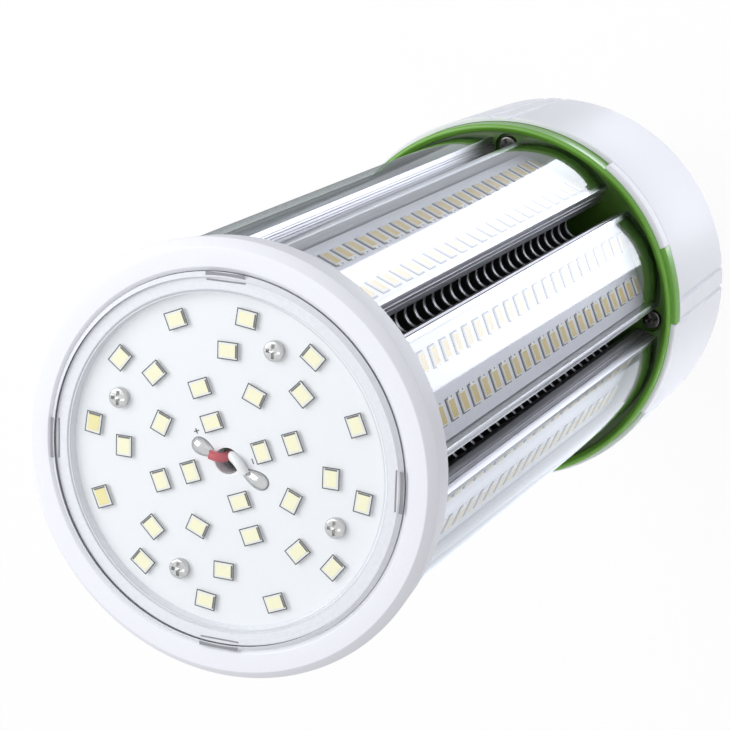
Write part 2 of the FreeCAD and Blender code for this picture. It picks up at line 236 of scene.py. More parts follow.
def new_mesh(name, verts, faces, smooth=SMOOTH_ANGLE):
    """A clean mesh from points in millimetres, with outward faces and soft shading below an angle."""
    mesh = bpy.data.meshes.new(name)
    mesh.from_pydata([Vector(v) * MM for v in verts], [], faces)
    work = bmesh.new()
    work.from_mesh(mesh)
    bmesh.ops.remove_doubles(work, verts=work.verts, dist=1e-7)
    bmesh.ops.recalc_face_normals(work, faces=work.faces)
    work.to_mesh(mesh)
    work.free()
    mesh.shade_smooth()
    mesh.set_sharp_from_angle(angle=math.radians(smooth))
    return mesh


def new_object(name, data):
    """An object in the scene for a mesh, curve, light or camera."""
    thing = bpy.data.objects.new(name, data)
    bpy.context.scene.collection.objects.link(thing)
    return thing


def turned(name, corners, steps=ROUND_STEPS, first=0.0, wide=TURN):
    """A piece turned round the axis, all the way or in part, from a closed outline of (radius, height)."""
    outline = rounded(corners)
    count, whole = len(outline), wide == TURN
    rings = steps if whole else steps + 1
    verts, faces = [], []
    for k in range(rings):
        a = math.radians(first + wide * k / steps)
        verts += [(p.x * math.cos(a), p.x * math.sin(a), p.y) for p in outline]
    for k in range(steps):
        for i in range(count):
            j, n = (i + 1) % count, (k + 1) % rings
            faces.append((k * count + i, k * count + j, n * count + j, n * count + i))
    if not whole:
        faces += [tuple(range(count)), tuple(range(steps * count, rings * count))]
    return new_object(name, new_mesh(name, verts, faces))


def drawn(name, corners, low, high, smooth=SMOOTH_ANGLE):
    """A piece drawn along the axis from a closed outline of (x, y)."""
    outline = rounded(corners)
    count = len(outline)
    verts = [(p.x, p.y, z) for z in (low, high) for p in outline]
    faces = [(i, (i + 1) % count, count + (i + 1) % count, count + i) for i in range(count)]
    faces += [tuple(range(count)), tuple(range(count, 2 * count))]
    return new_object(name, new_mesh(name, verts, faces, smooth))


def sector(name, inner, outer, low, high, first, wide, edge):
    """Part of a ring, from a first angle and so many degrees wide, with its outer edges rounded."""
    corners = [(inner, low), (outer, low, edge), (outer, high, edge), (inner, high)]
    return turned(name, corners, 16, first, wide)


def block(name, centre, size, edge=0.0):
    """A box, with soft edges where an edge width is given."""
    work = bmesh.new()
    place = Matrix.Translation(centre) @ Matrix.Diagonal((*size, 1.0))
    bmesh.ops.create_cube(work, size=1.0, matrix=place)
    if edge:
        bmesh.ops.bevel(work, geom=work.edges[:], offset=edge, segments=1, affect="EDGES")
    verts = [v.co.copy() for v in work.verts]
    faces = [tuple(v.index for v in f.verts) for f in work.faces]
    work.free()
    return new_object(name, new_mesh(name, verts, faces))


def evaluated_mesh(thing):
    """The mesh that an object's modifiers or curve give."""
    bpy.context.view_layer.update()
    depsgraph = bpy.context.evaluated_depsgraph_get()
    return bpy.data.meshes.new_from_object(thing.evaluated_get(depsgraph))


def tube(name, points, radius):
    """A round lead along smooth points."""
    curve = bpy.data.curves.new(name, "CURVE")
    curve.dimensions = "3D"
    curve.bevel_depth = radius * MM
    curve.bevel_resolution = 5
    curve.use_fill_caps = True
    line = curve.splines.new("BEZIER")
    line.resolution_u = 16
    line.bezier_points.add(len(points) - 1)
    for knot, p in zip(line.bezier_points, points):
        knot.co = Vector(p) * MM
        knot.handle_left_type = knot.handle_right_type = "AUTO"
    source = new_object(name + "_path", curve)
    mesh = evaluated_mesh(source)
    bpy.data.objects.remove(source)
    mesh.name = name
    mesh.shade_smooth()
    return new_object(name, mesh)


def node(tree, kind, **links):
    """A new node whose inputs are linked, by name, to sockets or to the first output of other nodes."""
    made = tree.nodes.new(kind)
    for name, source in links.items():
        if isinstance(source, bpy.types.Node):
            source = source.outputs[0]
        tree.links.new(source, made.inputs[name])
    return made


REPEAT_INPUTS = {"Geometry": "Geometry", "Piece": "Object", "Rows": "Int", "Pitch": "Float", "Copies": "Int",
                 "First angle": "Float", "Step angle": "Float", "Material": "Material"}


def repeat_tree():
    """Geometry nodes that set one piece along the axis and then round it."""
    tree = bpy.data.node_groups.get("Repeat round lamp")
    if tree:
        return tree
    tree = bpy.data.node_groups.new("Repeat round lamp", "GeometryNodeTree")
    face = tree.interface
    for name, kind in REPEAT_INPUTS.items():
        face.new_socket(name, in_out="INPUT", socket_type="NodeSocket" + kind)
    face.new_socket("Geometry", in_out="OUTPUT", socket_type="NodeSocketGeometry")

    given = node(tree, "NodeGroupInput").outputs
    piece = node(tree, "GeometryNodeObjectInfo", Object=given["Piece"])
    lift = node(tree, "ShaderNodeCombineXYZ", Z=given["Pitch"])
    rows = node(tree, "GeometryNodeMeshLine", Count=given["Rows"], Offset=lift)
    strip = node(tree, "GeometryNodeInstanceOnPoints", Points=rows, Instance=piece.outputs["Geometry"])
    ring = node(tree, "GeometryNodeMeshLine", Count=given["Copies"])
    ring.inputs["Offset"].default_value = (0.0, 0.0, 0.0)
    place = node(tree, "GeometryNodeInputIndex")
    angle = node(tree, "ShaderNodeMath")
    angle.operation = "MULTIPLY_ADD"
    for source, into in zip((place.outputs[0], given["Step angle"], given["First angle"]), angle.inputs):
        tree.links.new(source, into)
    spin = node(tree, "ShaderNodeCombineXYZ", Z=angle)
    euler = node(tree, "FunctionNodeEulerToRotation", Euler=spin)
    around = node(tree, "GeometryNodeInstanceOnPoints", Points=ring, Instance=strip, Rotation=euler)
    real = node(tree, "GeometryNodeRealizeInstances", Geometry=around)
    paint = node(tree, "GeometryNodeSetMaterial", Geometry=real, Material=given["Material"])
    node(tree, "NodeGroupOutput", Geometry=paint)
    return tree


def repeated(name, piece, material, rows=1, pitch=0.0, copies=SIDES, first=0.0, step=SIDE_STEP):
    """One mesh with a piece set along and round the axis; the piece itself is used up."""
    tree = repeat_tree()
    carrier = new_object(name + "_carrier", bpy.data.meshes.new(name + "_carrier"))
    mod = carrier.modifiers.new("Repeat", "NODES")
    mod.node_group = tree
    given = {"Piece": piece, "Rows": rows, "Pitch": pitch * MM, "Copies": copies, "Material": material,
             "First angle": math.radians(first), "Step angle": math.radians(step)}
    for item in tree.interface.items_tree:
        if item.in_out == "INPUT" and item.name in given:
            mod[item.identifier] = given[item.name]
    mesh = evaluated_mesh(carrier)
    if not mesh.polygons:
        raise RuntimeError("nothing repeated for " + name)
    mesh.name = name
    carrier.modifiers.remove(mod)
    bpy.data.objects.remove(carrier)
    bpy.data.objects.remove(piece)
    return new_object(name, mesh)


def four_round(name, piece, material, first=GAP_ANGLE):
    """One mesh with a piece at four places a quarter turn apart."""
    return repeated(name, piece, material, copies=4, first=first, step=QUARTER)


def joined(name, things):
    """Several objects as one mesh."""
    work = bmesh.new()
    for thing in things:
        work.from_mesh(thing.data)
        bpy.data.objects.remove(thing)
    mesh = bpy.data.meshes.new(name)
    work.to_mesh(mesh)
    work.free()
    return new_object(name, mesh)


def carved(thing, tool):
    """An object less a second one, which is used up."""
    cut = thing.modifiers.new("Carve", "BOOLEAN")
    cut.object, cut.solver = tool, "EXACT"
    mesh = evaluated_mesh(thing)
    mesh.set_sharp_from_angle(angle=math.radians(SMOOTH_ANGLE))
    thing.modifiers.remove(cut)
    thing.data = mesh
    bpy.data.objects.remove(tool)
    return thing


def dress(thing, material, slot, *nodes):
    """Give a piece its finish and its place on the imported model."""
    thing.data.materials.clear()
    thing.data.materials.append(material)
    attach(thing, "root")
    if nodes:
        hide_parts(*nodes)
    return thing


def dress_node(name, material):
    """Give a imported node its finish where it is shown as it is."""
    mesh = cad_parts[name].data
    mesh.materials.clear()
    mesh.materials.append(material)


# Finishes


def finish(name, colour, rough, metal=0.0, coat=0.0):
    """A plain finish, set on the shader's own sockets."""
    found = bpy.data.materials.get(name)
    if found:
        return found
    made = bpy.data.materials.new(name)
    made.use_nodes = True
    shader = made.node_tree.nodes["Principled BSDF"]
    shader.inputs["Base Color"].default_value = (*colour[:3], 1.0)
    shader.inputs["Roughness"].default_value = rough
    shader.inputs["Metallic"].default_value = metal
    shader.inputs["Coat Weight"].default_value = coat
    return made


def moulded(*given, **named):
    """A finish with the faint mottle and grain of a moulded or coated surface."""
    return grain(finish(*given, **named), 1400.0, 0.06, shade=0.03)


def brushed(*given, **named):
    """A metal finish with fine wear marks."""
    return grain(finish(*given, **named), 2200.0, 0.12, (1.0, 0.15, 1.0), 5.0, 0.08)


def grain(made, scale, bump, stretch=(1.0, 1.0, 1.0), detail=2.0, shade=0.0):
    """Add a fine surface grain, stretched along the piece, and a slight change of shade and gloss."""
    tree = made.node_tree
    if "Grain" in tree.nodes:
        return made
    link = tree.links.new
    shader = tree.nodes["Principled BSDF"]
    coords = node(tree, "ShaderNodeTexCoord")
    turn = node(tree, "ShaderNodeMapping", Vector=coords.outputs["Object"])
    turn.inputs["Scale"].default_value = stretch
    noise = node(tree, "ShaderNodeTexNoise", Vector=turn)
    noise.name = "Grain"
    noise.inputs["Scale"].default_value = scale
    noise.inputs["Detail"].default_value = detail
    lift = node(tree, "ShaderNodeBump", Height=noise)
    lift.inputs["Strength"].default_value = bump
    lift.inputs["Distance"].default_value = 0.2 * MM
    link(lift.outputs[0], shader.inputs["Normal"])
    if shade:
        base = shader.inputs["Base Color"].default_value[:3]
        ramp = node(tree, "ShaderNodeValToRGB", Fac=noise)
        darker, lighter = ramp.color_ramp.elements
        darker.position, lighter.position = 0.3, 0.7
        darker.color = (*[c * (1 - shade) for c in base], 1.0)
        lighter.color = (*[min(1.0, c * (1 + shade)) for c in base], 1.0)
        link(ramp.outputs[0], shader.inputs["Base Color"])
        rough = shader.inputs["Roughness"].default_value
        gloss = node(tree, "ShaderNodeMapRange", Value=noise)
        gloss.inputs["To Min"].default_value = rough * (1 - shade)
        gloss.inputs["To Max"].default_value = rough * (1 + shade)
        link(gloss.outputs[0], shader.inputs["Roughness"])
    return made


def colours():
    return bpy.context.scene.lamp_colours


def sizes():
    return bpy.context.scene.lamp_sizes


def white_plastic():
    return grain(finish("White plastic", colours().white, 0.5), 2500.0, 0.05, shade=0.01)


def shaded_housing_plastic():
    """The housing's white, a little darker than the end ring's: painted shade."""
    shaded_white = [c * 0.95 for c in colours().white]
    return grain(finish("Housing plastic with painted shade", shaded_white, 0.5), 2500.0, 0.05, shade=0.01)


def green_plastic():
    return moulded("Green plastic", colours().green, 0.35, coat=0.15)


def height_share(tree, none, full):
    """A share that grows from one height to another, in millimetres along the axis."""
    coords = node(tree, "ShaderNodeTexCoord")
    parts = node(tree, "ShaderNodeSeparateXYZ", Vector=coords.outputs["Object"])
    share = node(tree, "ShaderNodeMapRange", Value=parts.outputs["Z"])
    share.inputs["From Min"].default_value = none * MM
    share.inputs["From Max"].default_value = full * MM
    return share.outputs[0]


def blend(tree, share, first, second):
    """A colour between two, by a share."""
    mix = node(tree, "ShaderNodeMix")
    mix.data_type = "RGBA"
    mix.inputs["A"].default_value = (*first, 1.0)
    mix.inputs["B"].default_value = (*second, 1.0)
    tree.links.new(share, mix.inputs["Factor"])
    return mix.outputs["Result"]


def worked(tree, operation, first, second):
    """A value worked out from two, each read from a socket or given as a number."""
    made = node(tree, "ShaderNodeMath")
    made.operation = operation
    for given, into in zip((first, second), made.inputs):
        if isinstance(given, float):
            into.default_value = given
        else:
            tree.links.new(given, into)
    return made.outputs[0]


def mixed(tree, share, first, second):
    """A blend of two shaders, by a share."""
    mix = node(tree, "ShaderNodeMixShader")
    for given, into in zip((share, first.outputs[0], second.outputs[0]), mix.inputs):
        tree.links.new(given, into)
    return mix.outputs[0]


def seen_rays(tree, share):
    """A share for the rays that show the background: camera, glossy and transmission."""
    path = node(tree, "ShaderNodeLightPath").outputs
    seen = worked(tree, "MAXIMUM", path["Is Camera Ray"], path["Is Glossy Ray"])
    seen = worked(tree, "MAXIMUM", seen, path["Is Transmission Ray"])
    return worked(tree, "MULTIPLY", seen, share)


def stage_material(name):
    """A material with an empty node tree and its output."""
    made = bpy.data.materials.new(name)
    made.use_nodes = True
    made.node_tree.nodes.clear()
    return made, made.node_tree, node(made.node_tree, "ShaderNodeOutputMaterial")


def green_with_painted_shade():
    """The ring's green, darkened below its lip as painted shade in the recess."""
    if "Green with painted recess shade" in bpy.data.materials:
        return bpy.data.materials["Green with painted recess shade"]
    made = grain(finish("Green with painted recess shade", colours().green, 0.35, coat=0.15), 1400.0, 0.06)
    tree = made.node_tree
    # the darker green below the lip is painted shade, not a different plastic
    deep = [c * 0.4 for c in colours().green]
    colour = blend(tree, height_share(tree, LIP - 0.5, LIP - 2.0), colours().green, deep)
    tree.links.new(colour, tree.nodes["Principled BSDF"].inputs["Base Color"])
    return made


def clear_plastic(name="Clear plastic", tinted_and_shaded=True):
    """Thin clear sheet: light goes straight through and the outer face mirrors by its slant.
    A tinted sheet is darker where it is seen along its wall, and carries painted shade near the joining ring."""
    found = bpy.data.materials.get(name)
    if found:
        return found
    made = finish(name, (1.0, 1.0, 1.0), 0.08, 1.0)
    tree = made.node_tree
    link = tree.links.new
    bare = node(tree, "ShaderNodeBsdfTransparent")
    clear, tint_and_shade = (0.985, 0.99, 0.99), (0.5, 0.56, 0.54)
    bare.inputs[0].default_value = (*clear, 1.0)
    if tinted_and_shaded:
        wall = node(tree, "ShaderNodeLayerWeight")
        slope = node(tree, "ShaderNodeMapRange", Value=wall.outputs["Facing"])
        slope.inputs["From Min"].default_value = 0.7
        # darker near the joining ring: painted shade at the covers' ends
        most = worked(tree, "MAXIMUM", slope.outputs[0], height_share(tree, FLOOR + 7.0, FLOOR + 1.0))
        link(blend(tree, most, clear, tint_and_shade), bare.inputs[0])
    slant = node(tree, "ShaderNodeFresnel")
    slant.inputs["IOR"].default_value = 1.49
    side = node(tree, "ShaderNodeNewGeometry")
    front = worked(tree, "SUBTRACT", 1.0, side.outputs["Backfacing"])
    share = worked(tree, "MULTIPLY", slant.outputs[0], front)
    sheet = mixed(tree, share, bare, tree.nodes["Principled BSDF"])
    link(sheet, tree.nodes["Material Output"].inputs[0])
    return made


def drawn_aluminium():
    along = (1.0, 1.0, 0.01)
    return grain(finish("Drawn aluminium", colours().metal, 0.4, 1.0), 900.0, 0.3, along, 4.0, 0.3)


def bright_steel():
    return brushed("Bright steel", (0.56, 0.56, 0.56), 0.26, 1.0)


def dark_steel():
    return brushed("Dark steel", (0.16, 0.155, 0.15), 0.26, 1.0)


def board_mask():
    return grain(finish("White solder mask", colours().board, 0.3, coat=0.3), 1800.0, 0.03, shade=0.01)


def side_mask():
    return moulded("Silver mask", (0.70, 0.71, 0.80), 0.35)


def led_case():
    return moulded("LED case", (0.80, 0.80, 0.79), 0.45)


def led_shadow_rim():
    return moulded("LED outline", (0.055, 0.055, 0.06), 0.5)


def side_phosphor():
    return grain(finish("Side LED phosphor", (0.60, 0.45, 0.14), 0.4), 3500.0, 0.15, shade=0.07)


def end_phosphor():
    return grain(finish("End LED phosphor", colours().phosphor, 0.35), 3500.0, 0.15, shade=0.03)


def sleeve(name):
    """The plastic sleeve of a lead, by its colour's name."""
    return moulded("%s sleeve" % name.title(), SLEEVES[name], 0.35)


# Layers of an LED: name, finish, height, thickness, growth on each side and edge width
LED_LAYERS = (
    # the first layer is a dark rim round each case: painted shadow, not a part
    ("outlines", led_shadow_rim, 0.60, 0.06, 0.11, 0.0),
    ("cases", led_case, 0.33, 0.66, 0.0, 0.1),
    ("phosphors", None, LED_TOP, 0.05, -0.42, 0.0),
)


# Operators


class LAMP_OT_screw_base(bpy.types.Operator):
    """Screw shell with its rolled thread, the insulator and the centre contact"""
    bl_idname = "lamp.screw_base"
    bl_label = "Screw base"

    def execute(self, context):
        nickel = grain(finish("Nickel shell", (0.72, 0.70, 0.66), 0.22, 1.0), 400.0, 0.1, shade=0.08)
        dress(self.shell(), nickel, "nickel_plate", "screw_shell")
        low = -SHELL_TOP
        tip, top = low - TIP_DROP, low + PLUG_RISE
        plug = turned("base_insulator_moulding", [
            (CONTACT_BORE, tip), (TIP_RADIUS, tip, 0.4), (PLUG_RADIUS, low), (PLUG_RADIUS, top),
            (CONTACT_BORE, top)])
        black = moulded("Black insulator", (0.012, 0.012, 0.014), 0.2, coat=0.6)
        dress(plug, black, "black_insulator", "base_insulator")
        button = turned("centre_contact_button", [
            (0.0, BASE), (CONTACT_RADIUS - 1.0, BASE, 0.5), (CONTACT_RADIUS, BASE + 0.8, 0.4),
            (CONTACT_RADIUS, tip), (CONTACT_BORE, tip), (CONTACT_BORE, top), (0.0, top)])
        tinned = brushed("Tinned contact", (0.62, 0.58, 0.5), 0.3, 1.0)
        dress(button, tinned, "contact_metal", "centre_contact")
        return {"FINISHED"}

    def shell(self):
        """A thin wall whose radius follows the helix of the thread, plain near both ends."""
        around, up, wall, steep = 96, 150, 0.5, 9.0
        turns, depth = sizes().thread_turns, sizes().thread_depth
        verts, faces = [], []
        for side in (0, 1):
            for j in range(up + 1):
                f = j / up
                fade = min(1.0, min(f, 1.0 - f) * steep)
                z = -SHELL_TOP + 2 * SHELL_TOP * f
                for i in range(around):
                    a = 2 * math.pi * i / around
                    dip = depth * fade * (0.5 - 0.5 * math.cos(2 * math.pi * turns * f - a))
                    r = SHELL_RADIUS - dip - wall * side
                    verts.append((r * math.cos(a), r * math.sin(a), z))
        layer = around * (up + 1)
        bands = [(side * layer + j * around, around) for side in (0, 1) for j in range(up)]
        bands += [(j * around, layer) for j in (0, up)]
        for at, step in bands:
            for i in range(around):
                n = (i + 1) % around
                faces.append((at + i, at + n, at + step + n, at + step + i))
        return new_object("threaded_shell", new_mesh("threaded_shell", verts, faces, 60.0))


class LAMP_OT_housing(bpy.types.Operator):
    """White driver housing with its raised wings and its grooves"""
    bl_idname = "lamp.housing"
    bl_label = "Driver housing"

    def execute(self, context):
        foot, brim, radius = SHELL_TOP * 3, LIP - BRIM_DROP, HOUSING_RADIUS
        shoulder, neck_end, bed = foot - SHOULDER_DROP, SHELL_TOP - NECK_REACH, foot + 4.0
        inner, plug, seat = radius - HOUSING_WALL, PLUG_RADIUS + 0.05, RING_RADIUS + 0.1
        drum = turned("driver_housing_drum", [
            (radius, brim, 0.3), (radius - HOUSING_TAPER, foot + 0.1, 2.2), (NECK_RADIUS, shoulder, 2.5),
            (NECK_RADIUS, SHELL_TOP + 0.02, 0.5), (plug, SHELL_TOP), (plug, neck_end), (NECK_BORE, neck_end),
            (NECK_BORE, shoulder), (inner - 2.9, bed), (inner - HOUSING_TAPER, bed), (inner, SOCKET),
            (seat, SOCKET), (seat, brim)], FINE_STEPS)
        dress(carved(drum, self.notches(foot)), shaded_housing_plastic(), "white_plastic", "driver_housing")
        low, high, inside = brim - 0.2, LIP - TAB_DROP, RING_RADIUS + 0.05
        wings = [sector("housing_tab", inside, radius, low, high, angle, WING_WIDE, 0.5)
                 for angle in WING_ANGLES]
        wings = carved(joined("housing_tabs", wings), self.notches(foot))
        dress(wings, shaded_housing_plastic(), "white_plastic")
        return {"FINISHED"}

    def notches(self, foot):
        """Four pairs of grooves that lean with the housing's taper, as one tool to carve with."""
        brim = LIP - BRIM_DROP
        lean = HOUSING_TAPER / (brim - foot)
        slope = Matrix.Identity(4)
        slope[0][2], slope[0][3] = lean, -lean * brim * MM
        deep, clear = HOUSING_RADIUS - GROOVE_DEEP, HOUSING_RADIUS + 0.9
        pairs = []
        for angle in GROOVE_ANGLES:
            outline = [(deep, -0.3), (clear, -1.2), (clear, 1.2), (deep, 0.3)]
            bar = drawn("notch", outline, foot - 1.0, LIP + 1.0)
            bar.data.transform(slope)
            pairs.append(four_round("notches", bar, shaded_housing_plastic(), angle))
        return joined("notch_tool", pairs)


class LAMP_OT_green_ring(bpy.types.Operator):
    """Green joining ring with its tabs, and its four screws"""
    bl_idname = "lamp.green_ring"
    bl_label = "Green ring"

    def execute(self, context):
        wall, bed, low = RECESS_RADIUS, FLOOR - WELL_DEEP, LIP - BRIM_DROP
        disc = turned("green_ring_body", [
            (RING_BORE, FLOOR), (RING_BORE, SOCKET), (RING_RADIUS, SOCKET), (RING_RADIUS, LIP, 0.5),
            (wall + 0.8, LIP, 0.4), (wall, LIP - 0.8, 0.3), (wall, FLOOR)], FINE_STEPS)
        well = turned("well", [
            (0.0, bed), (WELL_RADIUS, bed), (WELL_RADIUS, FLOOR + 1.0), (0.0, FLOOR + 1.0)], 32)
        out = wall - WELL_INSET
        well.data.transform(Matrix.Translation((out * MM, 0, 0)))
        wells = four_round("wells", well, green_plastic())
        dress(carved(disc, wells), green_with_painted_shade(), "green_plastic", "green_ring")
        inside, outside, top = RING_RADIUS - 0.4, RING_RADIUS + 0.03, LIP - 0.35
        skin = [(inside, low), (outside, low), (outside, top), (inside, top)]
        tabs = [turned("ring_wall", skin, FINE_STEPS)]
        for angle in TAB_ANGLES:
            tabs.append(sector("green_tab", RING_RADIUS - 1.0, HOUSING_RADIUS, low + 0.1, LIP - TAB_DROP,
                               angle + 0.1, TAB_WIDE - 0.2, 0.35))
        dress(joined("green_tabs", tabs), green_plastic(), "green_plastic")
        head = pan_screw("ring_screw", out, bed, 1.9, 1.2)
        heads = four_round("ring_screw_heads", head, dark_steel())
        dress(heads, dark_steel(), "screw_steel", "ring_screws")
        return {"FINISHED"}


def pan_screw(name, out, seat, head, thick):
    """A pan-head screw with a cross recess, standing on its seat at a distance from the axis."""
    top = seat + thick
    screw = turned(name, [(0.0, seat), (head, seat), (head, top, thick * 0.3), (0.0, top)], 48)
    for angle in (20.0, 20.0 + QUARTER):
        arm = block(name + "_cross", (0, 0, top), (head * 1.4, head * 0.34, thick * 1.2))
        arm.data.transform(Matrix.Rotation(math.radians(angle), 4, "Z"))
        carved(screw, arm)
    screw.data.transform(Matrix.Translation((out * MM, 0, 0)))
    return screw


class LAMP_OT_fins(bpy.types.Operator):
    """Fin stack: dark fins with bare bright edges on a column"""
    bl_idname = "lamp.fins"
    bl_label = "Fin stack"

    def outline(self, grow):
        """An octagon whose corners are hollowed by arcs."""
        bite, beyond, sweep, steps = 2.4, 0.6, 124.0, 6
        corner = (SEAT + grow) / math.cos(math.pi / SIDES)
        points = []
        for k in range(SIDES):
            middle = 2 * math.pi * (k + 0.5) / SIDES
            centre = Vector((math.cos(middle), math.sin(middle))) * (corner + beyond)
            for i in range(steps + 1):
                a = middle + math.pi + math.radians(sweep / 2 - sweep * i / steps)
                points.append(centre + Vector((math.cos(a), math.sin(a))) * bite)
        return [(p.x, p.y) for p in points]

    def execute(self, context):
        top = UNDER - 2.0
        thick, pitch, count = sizes().fin_thick, sizes().fin_pitch, sizes().fin_count
        dark = moulded("Black fins", (0.012, 0.013, 0.015), 0.4)
        bare = brushed("Bare fin edge", (0.42, 0.42, 0.44), 0.4, 0.5)
        low = top - pitch * count
        fin = drawn("fin", self.outline(0.0), low, low + thick, 50.0)
        fins = repeated("fin_plates", fin, dark, rows=count, pitch=pitch, copies=1)
        half = 6.0
        column = drawn("fin_column", [(half, -half), (half, half), (-half, half), (-half, -half)], FLOOR, top)
        cap = drawn("fin_cap", self.outline(0.0), top, UNDER, 50.0)
        dress(joined("fin_stack_plates", [fins, column, cap]), dark, "black_fins", "fin_stack")
        edge = self.edge_strip(low + thick - 0.16, low + thick + 0.03)
        dress(repeated("fin_edges", edge, bare, rows=count, pitch=pitch, copies=1), bare, "black_fins")
        return {"FINISHED"}

    def edge_strip(self, low, high):
        """The bare cut edge of a fin, seen in the gaps between the lit sides."""
        verts, faces = [], []
        rim, core = self.outline(0.0), self.outline(-0.2)
        proud = 1.0008
        per = len(rim) // SIDES
        for k in range(SIDES):
            at = len(verts)
            for i in range(per):
                x, y = (c * proud for c in rim[k * per + i])
                u, v = core[k * per + i]
                verts += [(x, y, low), (x, y, high), (u, v, high), (u, v, low)]
            for i in range(per - 1):
                for s in range(4):
                    a, b = at + 4 * i + s, at + 4 * i + (s + 1) % 4
                    faces.append((a, b, b + 4, a + 4))
            faces += [(at, at + 1, at + 2, at + 3), tuple(at + 4 * (per - 1) + s for s in range(4))]
        return new_object("fin_edge", new_mesh("fin_edge", verts, faces, 50.0))


class LAMP_OT_lit_sides(bpy.types.Operator):
    """Eight lit sides: channels, boards, LEDs and convex covers"""
    bl_idname = "lamp.lit_sides"
    bl_label = "Lit sides"

    def execute(self, context):
        channels = repeated("channels", self.channel(), drawn_aluminium())
        dress(channels, drawn_aluminium(), "aluminium", *side_nodes("side_extrusion"))
        for name in side_nodes("side_led_board"):
            dress_node(name, side_mask())
        self.leds()
        self.pads()
        covers = repeated("convex_covers", self.cover(), clear_plastic())
        dress(covers, clear_plastic(), "clear_cover", *side_nodes("side_cover"))
        return {"FINISHED"}

    def channel(self):
        """A drawn channel with two fine grooves along each wall."""
        floor, lip = STRIP - BOARD_THICK, HALF - CHANNEL_WALL
        deep = HALF - 0.4
        upper = [(SEAT, HALF - 1.4), (SEAT + 1.4, HALF, 0.2)]
        for out in (RAIL - 2.6, RAIL - 1.6):
            upper += [(out, HALF), (out + 0.12, deep), (out + 0.45, deep), (out + 0.57, HALF)]
        upper += [(RAIL, HALF, 0.2), (RAIL, lip, 0.15), (floor, lip)]
        lower = [(c[0], -c[1], *c[2:]) for c in reversed(upper)]
        return drawn("channel", upper + lower, FLOOR, UNDER, 20.0)

    def cover(self):
        """A convex sheet from rail to rail."""
        rise, steps = CROWN - RAIL, 14
        radius = (HALF ** 2 + rise ** 2) / (2 * rise)
        centre, thin = CROWN - radius, radius - COVER_THICK
        wide, narrow = math.asin(HALF / radius), math.acos((RAIL - centre) / thin)
        points = []
        for r, first in ((radius, -wide), (thin, narrow)):
            angles = [first * (1 - 2 * k / steps) for k in range(steps + 1)]
            points += [(centre + r * math.cos(a), r * math.sin(a)) for a in angles]
        return drawn("convex_cover", points, FLOOR, UNDER, 40.0)

    def two_rows(self, name, paint, out, across, up, size, edge=0.0):
        """A small block in both rows of every lit side."""
        count, pitch = sizes().led_count, sizes().led_pitch
        rows = []
        for side in (-1, 1):
            chip = block("side_chip", (STRIP + out, side * across, FIRST_LED + LED_WIDE / 2 + up), size, edge)
            rows.append(repeated("%s_%d" % (name, side), chip, paint, rows=count, pitch=pitch))
        return joined(name, rows)

    def leds(self):
        for name, material, out, thick, grow, edge in LED_LAYERS:
            paint = material() if material else side_phosphor()
            out, thick, grow, up = out * SIDE_LED_SHARE, thick * SIDE_LED_SHARE, grow * SIDE_LED_SHARE, 0.0
            # the side rims are moved towards the lit end, where their painted shadow shows
            if name == "outlines":
                out, thick, grow, up = 0.04, 0.08, 0.22, 0.2
            size = (thick, LED_LONG + 2 * grow, LED_WIDE + 2 * grow)
            layer = self.two_rows("side_led_" + name, paint, out, sizes().led_row, up, size, edge)
            dress(layer, paint, "led_phosphor", *(side_nodes("side_leds") if name == "cases" else ()))

    def pads(self):
        """Tinned pads at the inner end of each side LED."""
        tin = brushed("Solder pads", (0.86, 0.86, 0.88), 0.25)
        pads = self.two_rows("side_led_pads", tin, 0.12, sizes().led_row - 1.95, 0.0, (0.24, 0.45, 1.2))
        dress(pads, tin, "led_phosphor")


def side_nodes(stem):
    """Names of a node that stands on each lit side."""
    return ["%s_%d" % (stem, k + 1) for k in range(SIDES)]


